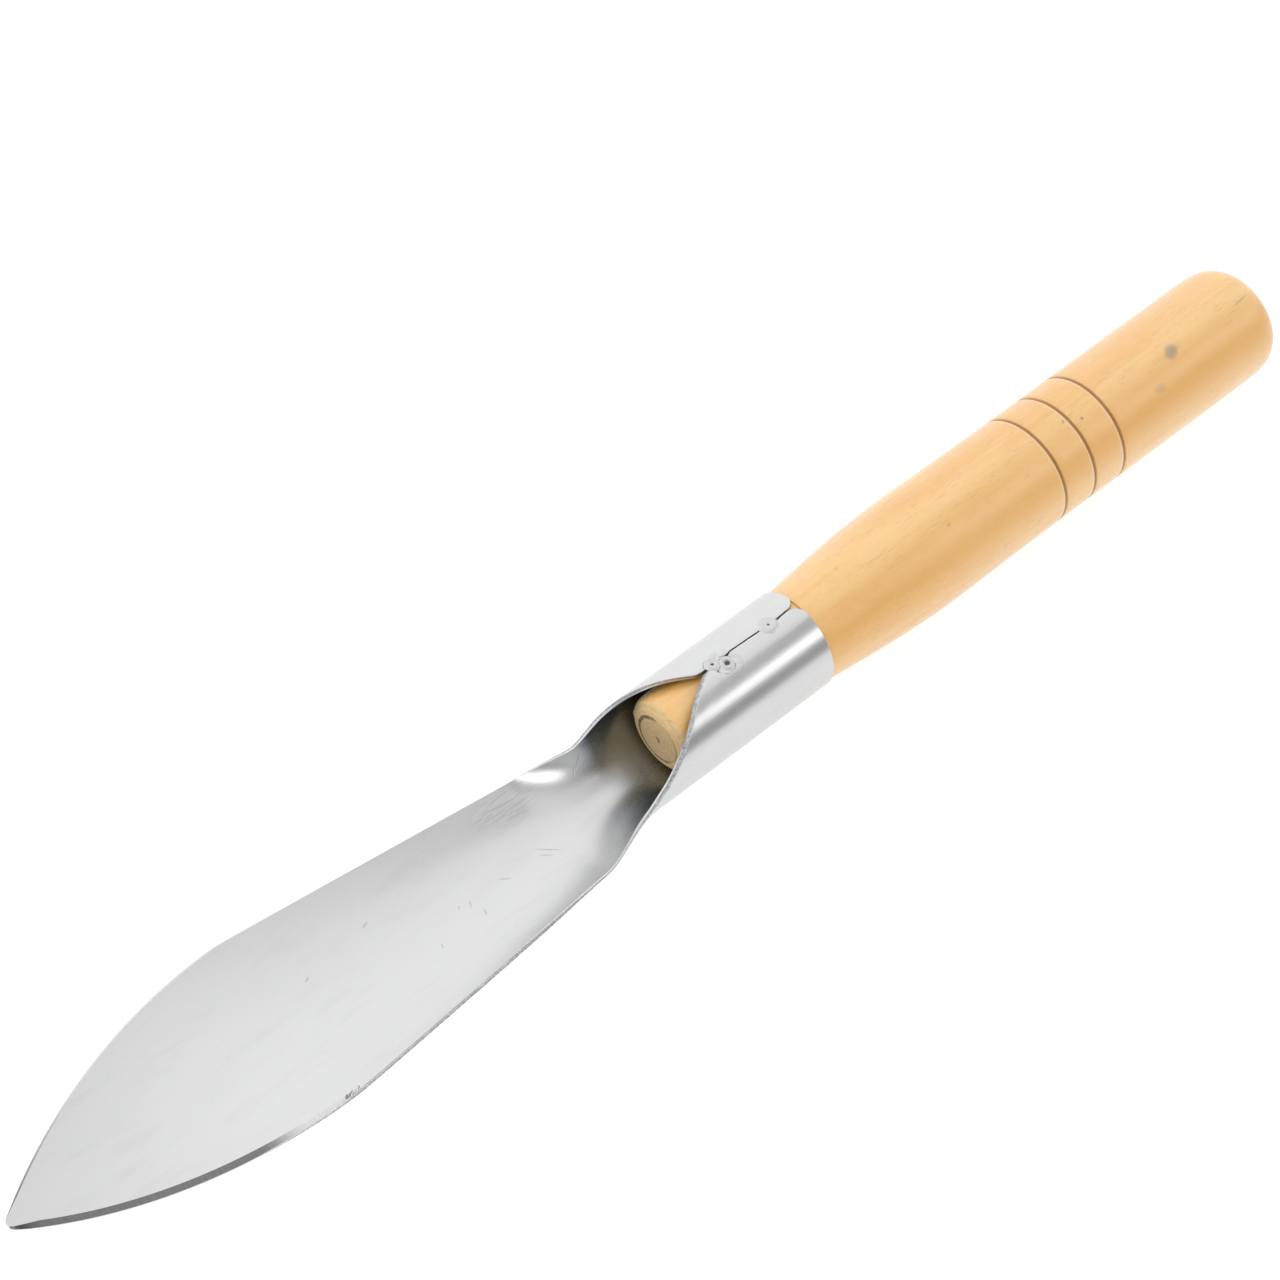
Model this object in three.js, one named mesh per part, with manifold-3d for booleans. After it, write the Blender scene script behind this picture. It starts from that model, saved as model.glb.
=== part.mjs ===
// Hand trowel: a leaf-shaped blade and its socket rolled from one steel sheet, a turned wooden handle driven
// into the socket, three tack welds on the socket's seam and a nail that holds the handle.
// Millimetres. The handle's axis runs along X, +X points to the tip and +Z out of the blade's hollow.
// The origin is below the middle of the overall length, level with the handle's lowest line.

import * as THREE from 'three';
import { mergeVertices } from 'three/addons/utils/BufferGeometryUtils.js';
import Module from 'manifold-3d';

// ---- Driving dimensions: distances along the tool are measured back from the tip ----
const LENGTH = 361.5;
const AXIS_HEIGHT = 14.15; // the handle's largest radius

// Flat blank of the sheet: half its width at each place along the tool
const SHEET = 1.0;
const NOSE = { halfWidth: 0.8, spread: 1.2 }; // the blunt tip, and how fast it widens
const FRONT_ARC_RADIUS = 119.5;
const CREST = { at: 70.7, halfWidth: 24.25 };
const TAPER = { from: 69.2, halfWidth: 24.2, slope: -0.0905 };
const FLARE_SLOPE = 0.813;
const MOUTH = 182.7; // where the two flaps meet
const RIM = 212.5;
const SEAM_GAP = 0.3;
const REAR_CORNER_RADIUS = 3;
const CORNER_SOFTNESS = { crest: 0.12, waist: 0.75, mouth: 0.35, heel: 0.3 };

// Bend of the sheet across its width, and the line of its spine
const SOCKET_RADIUS = 12.15; // outside
const TIP_CURVATURE = 0.0142; // 1 / radius
const HEEL_CURVATURE = 0.0355;
const HEEL_AT = 131.2;
const CURVATURE_GROWTH = 2.7;
const ROLL = { from: 142.2, to: 161.7 };
const SPINE_BREAK = 151.2;
const SPINE_SLOPE = 0.0605;

// Handle
const TENON = { front: 171.2, faceRadius: 8.8, radius: 9.5, chamfer: 0.8, fullAt: 202 };
const FIT_GAP = 0.3;
const NECK_RADIUS = 11.5;
const SWELL_END = 252;
const GRIP = [[SWELL_END, 14.15], [269, 14.0], [287, 13.9], [307, 14.0], [329, 14.08], [349.9, 14.12]];
const GROOVE = { first: 285.3, pitch: 9.81, count: 3, halfWidth: 0.5, depth: 0.6 };
const BUTT = { depth: 11.6, roundness: 3.9, flatRadius: 5 };

// Tack welds on the seam: place, offset across the tool and radius
const WELDS = {
  front_tack_weld: { at: 187.2, across: -0.2, radius: 1.3 },
  middle_tack_weld: { at: 189.9, across: 1.6, radius: 1.4 },
  rear_tack_weld: { at: 203.7, across: 0, radius: 1.8 },
};
const WELD_HEIGHT = 0.45;
const WELD_GAP = 0.1;

// Nail through the underside of the socket into the tenon
const NAIL = { at: 201, radius: 0.75, length: 13, point: 2.5, headRadius: 1.9, headHeight: 0.5 };
const NAIL_CLEARANCE = 0.3;

// ---- Small helpers ----
const softMax = (a, b, softness) => (a + b) / 2 + Math.hypot((a - b) / 2, softness);
const softMin = (a, b, softness) => (a + b) / 2 - Math.hypot((a - b) / 2, softness);
const rowX = (fromTip) => LENGTH / 2 - fromTip;

function spread(from, to, steps) {
  return Array.from({ length: steps }, (_, i) => from + ((to - from) * i) / steps);
}

// ---- The sheet ----
const midRadius = SOCKET_RADIUS - SHEET / 2;
const closedHalfWidth = Math.PI * midRadius - SEAM_GAP / 2;

// Half the blank's width: a circular front edge, a straight taper, the waist, a flare and the parallel socket.
function blankHalfWidth(fromTip) {
  const aheadOfCrest = Math.max(CREST.at - fromTip, 0);
  const frontArc = CREST.halfWidth - FRONT_ARC_RADIUS + Math.sqrt(FRONT_ARC_RADIUS ** 2 - aheadOfCrest ** 2);
  const taper = TAPER.halfWidth + TAPER.slope * (fromTip - TAPER.from);
  const flare = closedHalfWidth + FLARE_SLOPE * (fromTip - MOUTH);
  const blade = softMin(frontArc, taper, CORNER_SOFTNESS.crest);
  const waisted = softMax(blade, flare, CORNER_SOFTNESS.waist);
  const nose = NOSE.halfWidth + NOSE.spread * fromTip;
  return Math.min(softMin(waisted, closedHalfWidth, CORNER_SOFTNESS.mouth), nose);
}

// Radius of the bend: nearly flat at the tip, tighter towards the heel, then closing to the socket's tube.
function bendRadius(fromTip) {
  const growth = Math.pow(Math.min(fromTip, ROLL.to) / HEEL_AT, CURVATURE_GROWTH);
  const blade = TIP_CURVATURE + (HEEL_CURVATURE - TIP_CURVATURE) * growth;
  const rolled = THREE.MathUtils.smoothstep(fromTip, ROLL.from, ROLL.to);
  return 1 / THREE.MathUtils.lerp(blade, 1 / midRadius, rolled);
}

// Height of the sheet's middle surface on the centre line, from the handle's axis.
function spineHeight(fromTip) {
  const rising = -midRadius + SPINE_SLOPE * (SPINE_BREAK - fromTip);
  return softMax(-midRadius, rising, CORNER_SOFTNESS.heel) - CORNER_SOFTNESS.heel ** 2 / midRadius;
}

// A point of the sheet: across runs from -1 to 1 over the blank, offset is measured outwards from its middle.
function sheetPoint(fromTip, across, offset) {
  const radius = bendRadius(fromTip);
  const angle = (across * blankHalfWidth(fromTip)) / radius;
  const centre = AXIS_HEIGHT + spineHeight(fromTip) + radius;
  const reach = radius + offset;
  return [rowX(fromTip), reach * Math.sin(angle), centre - reach * Math.cos(angle)];
}

// The flaps' rear corners are rounded, so the sheet ends a little earlier beside the seam.
function rearEnd(across) {
  const fromSeam = closedHalfWidth * (1 - Math.abs(across));
  const intoCorner = Math.max(REAR_CORNER_RADIUS - fromSeam, 0);
  return RIM - (REAR_CORNER_RADIUS - Math.sqrt(REAR_CORNER_RADIUS ** 2 - intoCorner ** 2));
}

// Strips across the sheet, narrower towards its edges, where the flaps' corners are round.
function acrossStrips(steps) {
  const edgeShare = 0.6; // width of an edge strip, as a share of an even one
  return Array.from({ length: steps + 1 }, (_, i) => {
    const even = (2 * i) / steps - 1;
    const fromEdge = 1 - Math.abs(even);
    return Math.sign(even) * (1 - fromEdge * THREE.MathUtils.lerp(edgeShare, 1, fromEdge));
  });
}

// A closed loft: a loop of points round the sheet's thickness at each station, and a cap at each end.
function sheetGeometry() {
  const acrosses = acrossStrips(24);
  const squareEnd = RIM - 2 * REAR_CORNER_RADIUS;
  const stations = [
    ...spread(0, 3, 3), ...spread(3, 20, 4), ...spread(20, 62, 6), ...spread(62, 78, 4), ...spread(78, 138, 6),
    ...spread(138, 190, 20), ...spread(190, squareEnd, 3), squareEnd,
  ];
  const places = stations.map((at) => () => at);
  for (const share of [0.33, 0.67, 1]) {
    places.push((across) => THREE.MathUtils.lerp(squareEnd, rearEnd(across), share));
  }
  const positions = [];
  const backwards = [...acrosses].reverse();
  for (const place of places) {
    for (const across of acrosses) positions.push(...sheetPoint(place(across), across, SHEET / 2));
    for (const across of backwards) positions.push(...sheetPoint(place(across), across, -SHEET / 2));
  }
  const loop = 2 * acrosses.length;
  const indices = [];
  for (let row = 0; row + 1 < places.length; row++) {
    for (let i = 0; i < loop; i++) {
      const a = row * loop + i;
      const b = row * loop + ((i + 1) % loop);
      indices.push(a, b + loop, b, a, a + loop, b + loop);
    }
  }
  const lastRow = (places.length - 1) * loop;
  for (let i = 0; i + 1 < acrosses.length; i++) {
    const opposite = loop - 1 - i;
    indices.push(i, i + 1, opposite - 1, i, opposite - 1, opposite);
    indices.push(lastRow + i, lastRow + opposite - 1, lastRow + i + 1);
    indices.push(lastRow + i, lastRow + opposite, lastRow + opposite - 1);
  }
  const geometry = new THREE.BufferGeometry();
  geometry.setAttribute('position', new THREE.Float32BufferAttribute(positions, 3));
  geometry.setIndex(indices);
  return geometry;
}

// ---- The handle ----
// Its outline as [distance from the tip, radius], from the tenon's face to the flat of the butt.
function handleOutline() {
  const socketBore = SOCKET_RADIUS - SHEET - FIT_GAP;
  const shoulder = RIM + FIT_GAP;
  const outline = [
    [TENON.front, 0], [TENON.front, TENON.faceRadius],
    [TENON.front + TENON.chamfer, TENON.radius], [TENON.fullAt, socketBore], [shoulder, socketBore],
  ];
  const swellSteps = 7;
  for (let i = 0; i < swellSteps; i++) {
    const share = i / swellSteps;
    const radius = NECK_RADIUS + (GRIP[0][1] - NECK_RADIUS) * Math.sin((Math.PI / 2) * share);
    outline.push([shoulder + (SWELL_END - shoulder) * share, radius]);
  }
  const grip = new THREE.SplineCurve(GRIP.map(([at, radius]) => new THREE.Vector2(at, radius)));
  const gripPoints = grip.getPoints(10);
  const gripRadius = (at) => {
    const next = gripPoints.findIndex((point) => point.x >= at);
    const [a, b] = [gripPoints[next - 1], gripPoints[next]];
    return THREE.MathUtils.mapLinear(at, a.x, b.x, a.y, b.y);
  };
  const grooves = Array.from({ length: GROOVE.count }, (_, i) => GROOVE.first + i * GROOVE.pitch);
  const clearOfGrooves = (point) => grooves.every((at) => Math.abs(point.x - at) > 3 * GROOVE.halfWidth);
  const turned = gripPoints.filter(clearOfGrooves).map((point) => [point.x, point.y]);
  for (const at of grooves) {
    turned.push([at - GROOVE.halfWidth, gripRadius(at)]);
    turned.push([at, gripRadius(at) - GROOVE.depth]);
    turned.push([at + GROOVE.halfWidth, gripRadius(at)]);
  }
  outline.push(...turned.sort((a, b) => a[0] - b[0]));
  const domeSteps = 6;
  const domeRadius = GRIP[GRIP.length - 1][1];
  for (let i = 1; i <= domeSteps; i++) {
    const radius = domeRadius * Math.sin((Math.PI / 2) * (1 - i / (domeSteps + 1)));
    const reach = Math.pow(1 - Math.pow(radius / domeRadius, BUTT.roundness), 1 / BUTT.roundness);
    if (radius > BUTT.flatRadius) outline.push([LENGTH - BUTT.depth * (1 - reach), radius]);
  }
  outline.push([LENGTH, BUTT.flatRadius], [LENGTH, 0]);
  return outline;
}

// ---- Joining and cutting ----
const wasm = await Module();
wasm.setup();

function toSolid(geometry) {
  const bare = geometry.clone();
  bare.deleteAttribute('normal');
  bare.deleteAttribute('uv');
  const merged = mergeVertices(bare, 1e-4);
  const mesh = new wasm.Mesh({
    numProp: 3,
    vertProperties: new Float32Array(merged.attributes.position.array),
    triVerts: new Uint32Array(merged.index.array),
  });
  return new wasm.Manifold(mesh);
}

function toGeometry(solid) {
  const mesh = solid.getMesh();
  const geometry = new THREE.BufferGeometry();
  geometry.setAttribute('position', new THREE.Float32BufferAttribute(mesh.vertProperties, 3));
  geometry.setIndex([...mesh.triVerts]);
  return geometry;
}

// ---- Pieces ----
const steel = { color: 0xc9cacc, metalness: 1, roughness: 0.34 };
const weldSteel = { color: 0xb9babb, metalness: 1, roughness: 0.45 };
const nailSteel = { color: 0x9b9c9e, metalness: 1, roughness: 0.5 };
const wood = { color: 0xe6b878, metalness: 0, roughness: 0.55 };

const trowel = new THREE.Group();

function addPiece(name, geometry, finish) {
  const mesh = new THREE.Mesh(geometry, new THREE.MeshStandardMaterial(finish));
  mesh.name = name;
  trowel.add(mesh);
  return mesh;
}

// Turned shapes are drawn as [along, radius] and spun round the Y axis.
function turned(outline, segments) {
  return new THREE.LatheGeometry(outline.map(([along, radius]) => new THREE.Vector2(radius, along)), segments);
}

// The nail and its clearance hole point up, with the head's inner face just under the socket.
const socketBottom = AXIS_HEIGHT - SOCKET_RADIUS;
const nailSeat = socketBottom - WELD_GAP;

function nailGeometry() {
  const outline = [
    [-NAIL.headHeight, 0], [-NAIL.headHeight, NAIL.headRadius * 0.6], [-NAIL.headHeight / 2, NAIL.headRadius],
    [0, NAIL.headRadius], [0, NAIL.radius], [NAIL.length - NAIL.point, NAIL.radius], [NAIL.length, 0],
  ];
  return turned(outline, 12).rotateX(Math.PI / 2).translate(rowX(NAIL.at), 0, nailSeat);
}

function nailHole() {
  const radius = NAIL.radius + NAIL_CLEARANCE;
  const depth = NAIL.length + 2 * NAIL_CLEARANCE;
  const outline = [[-2, 0], [-2, radius], [depth - NAIL.point, radius], [depth, 0]];
  return toSolid(turned(outline, 12).rotateX(Math.PI / 2).translate(rowX(NAIL.at), 0, nailSeat));
}

addPiece('blade_and_socket', toGeometry(toSolid(sheetGeometry()).subtract(nailHole())), steel);

const handleAlongX = turned(handleOutline().map(([at, radius]) => [rowX(at), radius]).reverse(), 32);
handleAlongX.rotateZ(-Math.PI / 2).translate(0, 0, AXIS_HEIGHT);
addPiece('handle', toGeometry(toSolid(handleAlongX).subtract(nailHole())), wood);

for (const [name, weld] of Object.entries(WELDS)) {
  const outline = [
    [0, 0], [0, weld.radius], [WELD_HEIGHT * 0.6, weld.radius * 0.85],
    [WELD_HEIGHT, weld.radius * 0.5], [WELD_HEIGHT * 0.7, 0],
  ];
  const bead = addPiece(name, turned(outline, 12).rotateX(Math.PI / 2), weldSteel);
  const lean = Math.asin(weld.across / SOCKET_RADIUS);
  const reach = SOCKET_RADIUS + WELD_GAP;
  bead.position.set(rowX(weld.at), reach * Math.sin(lean), AXIS_HEIGHT + reach * Math.cos(lean));
  bead.rotation.x = -lean;
}

addPiece('retaining_nail', nailGeometry(), nailSteel);

export default trowel;
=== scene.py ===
import math

import bpy
import numpy as np
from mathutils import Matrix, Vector


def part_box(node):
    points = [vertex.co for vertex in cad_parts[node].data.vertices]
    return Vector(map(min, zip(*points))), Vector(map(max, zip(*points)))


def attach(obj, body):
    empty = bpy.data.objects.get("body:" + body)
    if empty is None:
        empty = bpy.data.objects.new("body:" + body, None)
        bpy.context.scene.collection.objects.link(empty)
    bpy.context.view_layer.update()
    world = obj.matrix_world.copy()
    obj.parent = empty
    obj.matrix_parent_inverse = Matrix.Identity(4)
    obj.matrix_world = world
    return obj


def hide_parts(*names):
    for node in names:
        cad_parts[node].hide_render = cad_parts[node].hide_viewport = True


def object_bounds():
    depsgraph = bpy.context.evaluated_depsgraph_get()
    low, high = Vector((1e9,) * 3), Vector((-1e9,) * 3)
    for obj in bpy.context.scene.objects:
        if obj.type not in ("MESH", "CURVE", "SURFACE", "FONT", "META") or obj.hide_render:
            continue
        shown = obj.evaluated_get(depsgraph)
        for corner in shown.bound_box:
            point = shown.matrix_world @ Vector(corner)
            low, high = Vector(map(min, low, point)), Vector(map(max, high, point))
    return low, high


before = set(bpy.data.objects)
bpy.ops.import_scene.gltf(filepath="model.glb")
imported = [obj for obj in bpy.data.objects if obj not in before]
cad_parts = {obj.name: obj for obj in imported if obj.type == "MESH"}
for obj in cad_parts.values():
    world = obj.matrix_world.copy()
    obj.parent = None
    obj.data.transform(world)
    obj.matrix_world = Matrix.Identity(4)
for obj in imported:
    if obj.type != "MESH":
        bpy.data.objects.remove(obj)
CAD_LOW, CAD_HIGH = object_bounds()

bl_info = {
    "name": "Hand Trowel",
    "version": (1, 0, 0),
    "blender": (4, 5, 0),
    "location": "View3D > Sidebar > Trowel",
    "description": "Builds a hand trowel: rolled steel sheet, turned handle, tack welds and a nail",
    "category": "Add Mesh",
}

# The handle's axis runs along X, +X points to the tip and +Z out of the blade's hollow. The shapes below
# are worked out in millimetres, with distances measured back from the tip, and placed in metres.
MM = 0.001
LENGTH = (CAD_HIGH.x - CAD_LOW.x) / MM
SHEET_LOW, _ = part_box("blade_and_socket")
HANDLE_LOW, HANDLE_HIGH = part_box("handle")
AXIS_HEIGHT = (HANDLE_HIGH.z - HANDLE_LOW.z) / 2 / MM
RIM = (CAD_HIGH.x - SHEET_LOW.x) / MM
TENON_FRONT = (CAD_HIGH.x - HANDLE_HIGH.x) / MM
SOCKET_RADIUS = AXIS_HEIGHT - SHEET_LOW.z / MM


def from_tip(x):
    """Distance back from the tip, in millimetres, of a place along X in metres."""
    return (CAD_HIGH.x - x) / MM


# ---- Settings ----
class SheetSettings(bpy.types.PropertyGroup):
    """Sizes and finish of the steel sheet."""
    thickness: bpy.props.FloatProperty(
        name="Thickness", description="Thickness of the sheet", default=1.0 * MM, unit="LENGTH")
    grind_width: bpy.props.FloatProperty(
        name="Grind Width", description="Width of the ground bevel on the front edges", default=1.4 * MM,
        unit="LENGTH")
    grind_depth: bpy.props.FloatProperty(
        name="Grind Depth", description="Depth of the ground bevel at the edge", default=0.84 * MM,
        unit="LENGTH")
    seam_gap: bpy.props.FloatProperty(
        name="Seam Gap", description="Gap between the two flaps of the socket", default=0.3 * MM,
        unit="LENGTH")
    rear_corner: bpy.props.FloatProperty(
        name="Rear Corner", description="Radius of the flaps' rear corners", default=3.0 * MM,
        unit="LENGTH")
    colour: bpy.props.FloatVectorProperty(
        name="Steel", description="Colour of the satin steel", default=(0.615, 0.617, 0.62), size=3,
        subtype="COLOR", min=0, max=1)
    roughness: bpy.props.FloatProperty(
        name="Roughness", description="Roughness of the satin steel", default=0.27, subtype="FACTOR")
    edge_colour: bpy.props.FloatVectorProperty(
        name="Cut Edge", description="Colour of the sheared edges", default=(0.60, 0.603, 0.607), size=3,
        subtype="COLOR", min=0, max=1)


class HandleSettings(bpy.types.PropertyGroup):
    """Sizes and colours of the turned handle."""
    groove_half_width: bpy.props.FloatProperty(
        name="Groove Half Width", description="Half the width of a groove", default=0.5 * MM, unit="LENGTH")
    groove_depth: bpy.props.FloatProperty(
        name="Groove Depth", description="Depth of a groove", default=0.6 * MM, unit="LENGTH")
    light_wood: bpy.props.FloatVectorProperty(
        name="Light Wood", description="Colour of the pale wood", default=(0.86, 0.515, 0.16), size=3,
        subtype="COLOR", min=0, max=1)
    honey_wood: bpy.props.FloatVectorProperty(
        name="Honey Wood", description="Colour of the darker, yellower wood", default=(0.78, 0.395, 0.068),
        size=3, subtype="COLOR", min=0, max=1)
    fibre: bpy.props.FloatVectorProperty(
        name="Fibre", description="Colour of the dark fibres and pores", default=(0.46, 0.19, 0.045),
        size=3, subtype="COLOR", min=0, max=1)
    knot: bpy.props.FloatVectorProperty(
        name="Knot", description="Colour of the small pin knots", default=(0.29, 0.21, 0.125), size=3,
        subtype="COLOR", min=0, max=1)
    end_grain: bpy.props.FloatVectorProperty(
        name="End Grain", description="Colour of the sawn end", default=(0.62, 0.45, 0.235), size=3,
        subtype="COLOR", min=0, max=1)
    roughness: bpy.props.FloatProperty(
        name="Roughness", description="Roughness of the sanded wood", default=0.52, subtype="FACTOR")


class WeldSettings(bpy.types.PropertyGroup):
    """Sizes and colour of the tack welds."""
    height: bpy.props.FloatProperty(
        name="Bead Height", description="Height of a weld over the socket", default=0.24 * MM,
        unit="LENGTH")
    colour: bpy.props.FloatVectorProperty(
        name="Weld Metal", description="Colour of the weld metal", default=(0.60, 0.60, 0.605), size=3,
        subtype="COLOR", min=0, max=1)
    burnt: bpy.props.FloatVectorProperty(
        name="Burnt Metal", description="Colour in the craters", default=(0.10, 0.095, 0.09), size=3,
        subtype="COLOR", min=0, max=1)


class NailSettings(bpy.types.PropertyGroup):
    """Finish of the nail."""
    colour: bpy.props.FloatVectorProperty(
        name="Nail Steel", description="Colour of the nail", default=(0.45, 0.455, 0.46), size=3,
        subtype="COLOR", min=0, max=1)


class StageSettings(bpy.types.PropertyGroup):
    """Floor, light and camera."""
    floor_size: bpy.props.FloatProperty(
        name="Floor Size", description="Side of the square floor", default=6.0, unit="LENGTH")
    light_level: bpy.props.FloatProperty(
        name="Light Level", description="Strength of the soft lights", default=1.0, min=0)
    camera_place: bpy.props.FloatVectorProperty(
        name="Camera Place", description="Where the camera stands", default=(0.30590, 0.31470, 0.57522),
        size=3, subtype="TRANSLATION", unit="LENGTH")
    camera_aim: bpy.props.FloatVectorProperty(
        name="Camera Aim", description="Direction that the camera looks in",
        default=(-0.4306, -0.4654, -0.7733), size=3, subtype="DIRECTION")
    lens: bpy.props.FloatProperty(
        name="Lens", description="Focal length in millimetres", default=92.8125, min=1)


# ---- Modelling helpers ----
def start_piece():
    """Leaves edit mode and selects nothing, so that the next primitive is on its own."""
    if bpy.context.object and bpy.context.object.mode != "OBJECT":
        bpy.ops.object.mode_set(mode="OBJECT")
    bpy.ops.object.select_all(action="DESELECT")


def select_vertices(mesh_object, test):
    """Selects, in edit mode, the vertices whose place passes the test."""
    bpy.ops.mesh.select_all(action="DESELECT")
    bpy.ops.object.mode_set(mode="OBJECT")
    for vertex in mesh_object.data.vertices:
        vertex.select = bool(test(vertex.co))
    bpy.ops.object.mode_set(mode="EDIT")


def places(mesh):
    """Vertex places of a mesh as an array."""
    flat = np.empty(len(mesh.vertices) * 3)
    mesh.vertices.foreach_get("co", flat)
    return flat.reshape(-1, 3)


def move_vertices(mesh, points):
    mesh.vertices.foreach_set("co", np.asarray(points, dtype=float).ravel())
    mesh.update()


def point_attribute(mesh, name, kind, values):
    """Stores a value on each vertex for the materials to read."""
    attribute = mesh.attributes.new(name, kind, "POINT")
    field = "vector" if kind == "FLOAT_VECTOR" else "value"
    attribute.data.foreach_set(field, np.asarray(values, float).ravel())


def smooth_step(value, low, high):
    share = np.clip((value - low) / (high - low), 0, 1)
    return share * share * (3 - 2 * share)


def soft_max(a, b, softness):
    return (a + b) / 2 + np.hypot((a - b) / 2, softness)


def soft_min(a, b, softness):
    return (a + b) / 2 - np.hypot((a - b) / 2, softness)


def wobble(at, spacing, seed):
    """Smooth irregular value between -1 and 1 along a length."""
    count = 512
    knots = np.random.default_rng(seed).uniform(-1, 1, count)
    place = np.asarray(at, float) / spacing + 40
    before = np.floor(place).astype(int)
    start = knots[before % count]
    end = knots[(before + 1) % count]
    return start + (end - start) * smooth_step(place - before, 0, 1)


def turn(name, outline, segments, axis_start, along):
    """Turns a solid: a disc is extruded along the axis and scaled at every step of (distance, radius)."""
    start_piece()
    direction = Vector(along)
    first, radius = outline[0]
    place = Vector(axis_start) + direction * first
    tilt = Vector((0, 0, 1)).rotation_difference(direction).to_euler()
    bpy.ops.mesh.primitive_circle_add(
        vertices=segments, radius=radius, fill_type="TRIFAN", location=place, rotation=tilt)
    piece = bpy.context.object
    piece.name = piece.data.name = name
    bpy.ops.object.transform_apply(location=True, rotation=True, scale=True)
    bpy.ops.object.mode_set(mode="EDIT")
    bpy.ops.mesh.select_all(action="SELECT")
    for (_, old_radius), (distance, radius) in zip(outline, outline[1:]):
        new_place = Vector(axis_start) + direction * distance
        bpy.ops.mesh.extrude_region_move(TRANSFORM_OT_translate={"value": new_place - place})
        grow = radius / old_radius
        scale = [1 if abs(part) > 0.5 else grow for part in direction]
        bpy.ops.transform.resize(value=scale, center_override=new_place)
        place = new_place
    bpy.ops.mesh.select_all(action="SELECT")
    bpy.ops.mesh.normals_make_consistent(inside=False)
    bpy.ops.object.mode_set(mode="OBJECT")
    return piece


def finish_piece(piece, node, sharp_angle=30):
    """Shades the piece and ties it to the frame."""
    start_piece()
    piece.select_set(True)
    bpy.context.view_layer.objects.active = piece
    bpy.ops.object.shade_smooth_by_angle(angle=math.radians(sharp_angle))
    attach(piece, "root")
    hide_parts(node)


# ---- Shader helpers ----
class Wire:
    """A socket in a node tree; arithmetic on it adds Math nodes."""

    def __init__(self, shader, socket):
        self.shader = shader
        self.socket = socket

    def calculate(self, operation, *values):
        return self.shader.node("ShaderNodeMath", {"operation": operation}, dict(enumerate(values)))

    def __add__(self, other):
        return self.calculate("ADD", self, other)

    __radd__ = __add__

    def __sub__(self, other):
        return self.calculate("SUBTRACT", self, other)

    def __rsub__(self, other):
        return self.calculate("SUBTRACT", other, self)

    def __mul__(self, other):
        return self.calculate("MULTIPLY", self, other)

    __rmul__ = __mul__

    def __pow__(self, other):
        return self.calculate("POWER", self, other)

    def __abs__(self):
        return self.calculate("ABSOLUTE", self)

    def sine(self):
        return self.calculate("SINE", self)

    def between(self, low, high):
        """Smooth step from 0 at low to 1 at high."""
        return self.shader.node(
            "ShaderNodeMapRange", {"interpolation_type": "SMOOTHSTEP"},
            {"Value": self, "From Min": low, "From Max": high, "To Min": 0.0, "To Max": 1.0})


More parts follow.
